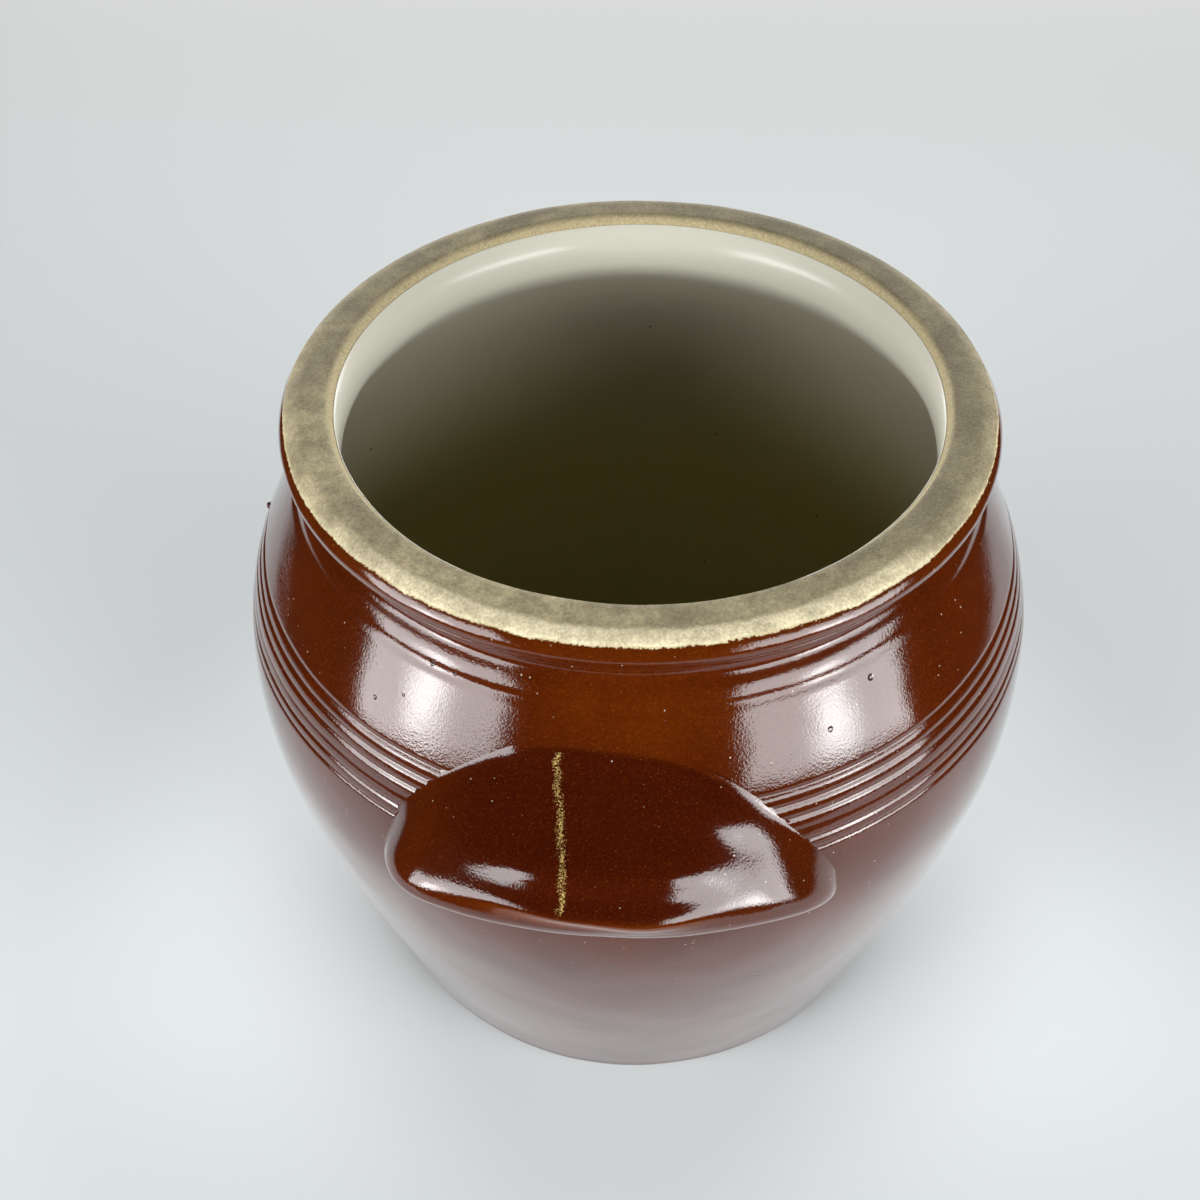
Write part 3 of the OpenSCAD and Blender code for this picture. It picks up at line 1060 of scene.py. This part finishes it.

# Studio
# A pale paper table with a painted pool of light round the foot, on a floor of the same; two soft
# panels low on both sides of the camera, each with a hot middle and a fill light above it, a glow
# from behind, and a dark room overhead. The fill lights and the floor don't show in the glaze.

near_paper, far_paper, painted_light_paper = "#c8cdcf", "#abadac", "#d8dee0"
pale_floor, tree, surface = new_material("pale_floor", {"Roughness": 0.6})
place = node(tree, "ShaderNodeTexCoord").outputs["Object"]
rearward = node(tree, "ShaderNodeSeparateXYZ", {"Vector": place}).outputs["Y"]
far = node(
    tree,
    "ShaderNodeMapRange",
    {"Value": rearward, "From Min": 0.25, "From Max": 1.0},
    interpolation_type="SMOOTHSTEP",
)
paper = node(
    tree,
    "ShaderNodeMix",
    {"Factor": far.outputs[0], "A": to_linear(near_paper), "B": to_linear(far_paper)},
    data_type="RGBA",
)
# Painted light: the paper is lighter round the foot, a pool of light that fills in the pot's shadow
from_pot = node(tree, "ShaderNodeVectorMath", {0: place}, operation="LENGTH")
painted_light_near_foot = node(
    tree,
    "ShaderNodeMapRange",
    {"Value": from_pot.outputs["Value"], "From Min": 0.28, "From Max": 0.17},
    interpolation_type="SMOOTHSTEP",
)
paper_with_painted_light = node(
    tree,
    "ShaderNodeMix",
    {"Factor": painted_light_near_foot.outputs[0], "A": paper.outputs["Result"], "B": to_linear(painted_light_paper)},
    data_type="RGBA",
)
tree.links.new(paper_with_painted_light.outputs["Result"], surface.inputs["Base Color"])
for name, width, front_y, back_y, z in (
    ("table", 1.24, -0.42, 1.0, -0.4 * mm),
    ("floor", 12, -6, 6, -0.8 * mm),
):
    bpy.ops.object.select_all(action="DESELECT")
    bpy.ops.mesh.primitive_plane_add(size=1)
    ground = bpy.context.object
    ground.name = ground.data.name = name
    ground.data.transform(
        Matrix.Translation((0, (front_y + back_y) / 2, z))
        @ Matrix.Diagonal((width, back_y - front_y, 1, 1))
    )
    ground.data.materials.append(pale_floor)
    ground.visible_glossy = name == "table"


def soft_box(name, width, height, strength, place):
    """Adds a rectangular light that the camera doesn't see, equally bright at any size."""
    lamp = bpy.data.lights.new(name, "AREA")
    lamp.shape = "RECTANGLE"
    lamp.size, lamp.size_y = width, height
    lamp.energy = strength * math.pi * width * height
    box = bpy.data.objects.new(name, lamp)
    bpy.context.scene.collection.objects.link(box)
    box.matrix_world = place
    box.visible_camera = False
    return box


# Each panel: degrees round from the front, roll, size, height, and where its hot middle lies in it
panel_away, panel_strength = 1.30, 8.6
hot_r, hot_gain = 0.24, 2.7
fill_h, fill_up, fill_strength = 0.36, 0.41, 9
for name, degrees, roll, width, height, z, hot_x, hot_y in (
    ("panel_left", -51.9, 15, 0.98, 0.51, 0.355, 0.46, 0.30),
    ("panel_right", 53.0, -11.5, 1.10, 0.51, 0.325, 0.54, 0.33),
):
    stand = (
        Matrix.Rotation(math.radians(degrees), 4, "Z")
        @ Matrix.Translation((0, -panel_away, z))
        @ Matrix.Rotation(math.radians(90), 4, "X")
        @ Matrix.Rotation(math.radians(roll), 4, "Z")
    )
    panel = soft_box(name, width, height, panel_strength, stand)
    panel.data.use_nodes = True
    tree = panel.data.node_tree
    across = node(tree, "ShaderNodeNewGeometry").outputs["Parametric"]
    metres = node(
        tree, "ShaderNodeVectorMath", {0: across, 1: (width, height, 0)}, operation="MULTIPLY"
    )
    off_hot = node(
        tree,
        "ShaderNodeVectorMath",
        {0: metres.outputs[0], 1: (hot_x * width, hot_y * height, 0)},
        operation="DISTANCE",
    )
    hot = node(
        tree,
        "ShaderNodeMapRange",
        {
            "Value": off_hot.outputs["Value"],
            "From Min": hot_r,
            "From Max": 0,
            "To Min": 1,
            "To Max": hot_gain,
        },
        interpolation_type="SMOOTHERSTEP",
    )
    tree.links.new(hot.outputs[0], tree.nodes["Emission"].inputs["Strength"])
    above = stand @ Matrix.Translation((0, fill_up, 0))
    fill = soft_box("fill_" + name, width, fill_h, fill_strength, above)
    fill.visible_glossy = False

glow_w, glow_h, glow_strength, glow_place = 5.0, 2.2, 6.0, (0, 3.0, 1.2)
soft_box(
    "back_glow",
    glow_w,
    glow_h,
    glow_strength,
    Matrix.Translation(glow_place) @ Matrix.Rotation(math.radians(-90), 4, "X"),
)

room_dark = (0.012, 0.0125, 0.013, 1)
world = bpy.data.worlds.new("dark_room")
bpy.context.scene.world = world
world.use_nodes = True
world.node_tree.nodes["Background"].inputs["Color"].default_value = room_dark
bpy.context.scene.view_settings.view_transform = "Standard"

# Camera, fitted to the rim's circles, the grooves and the outline in the photo
camera_place = (0.0187, -0.3825, 0.5582)
camera_heading, camera_tilt, camera_roll = 4.892, 43.98, -0.745
camera_data = bpy.data.cameras.new("camera")
camera_data.sensor_width = 36
camera_data.lens = 42.45
camera = bpy.data.objects.new("camera", camera_data)
bpy.context.scene.collection.objects.link(camera)
camera.matrix_world = (
    Matrix.Translation(camera_place)
    @ Matrix.Rotation(math.radians(camera_heading), 4, "Z")
    @ Matrix.Rotation(math.radians(camera_tilt), 4, "X")
    @ Matrix.Rotation(math.radians(camera_roll), 4, "Z")
)
bpy.context.scene.camera = camera
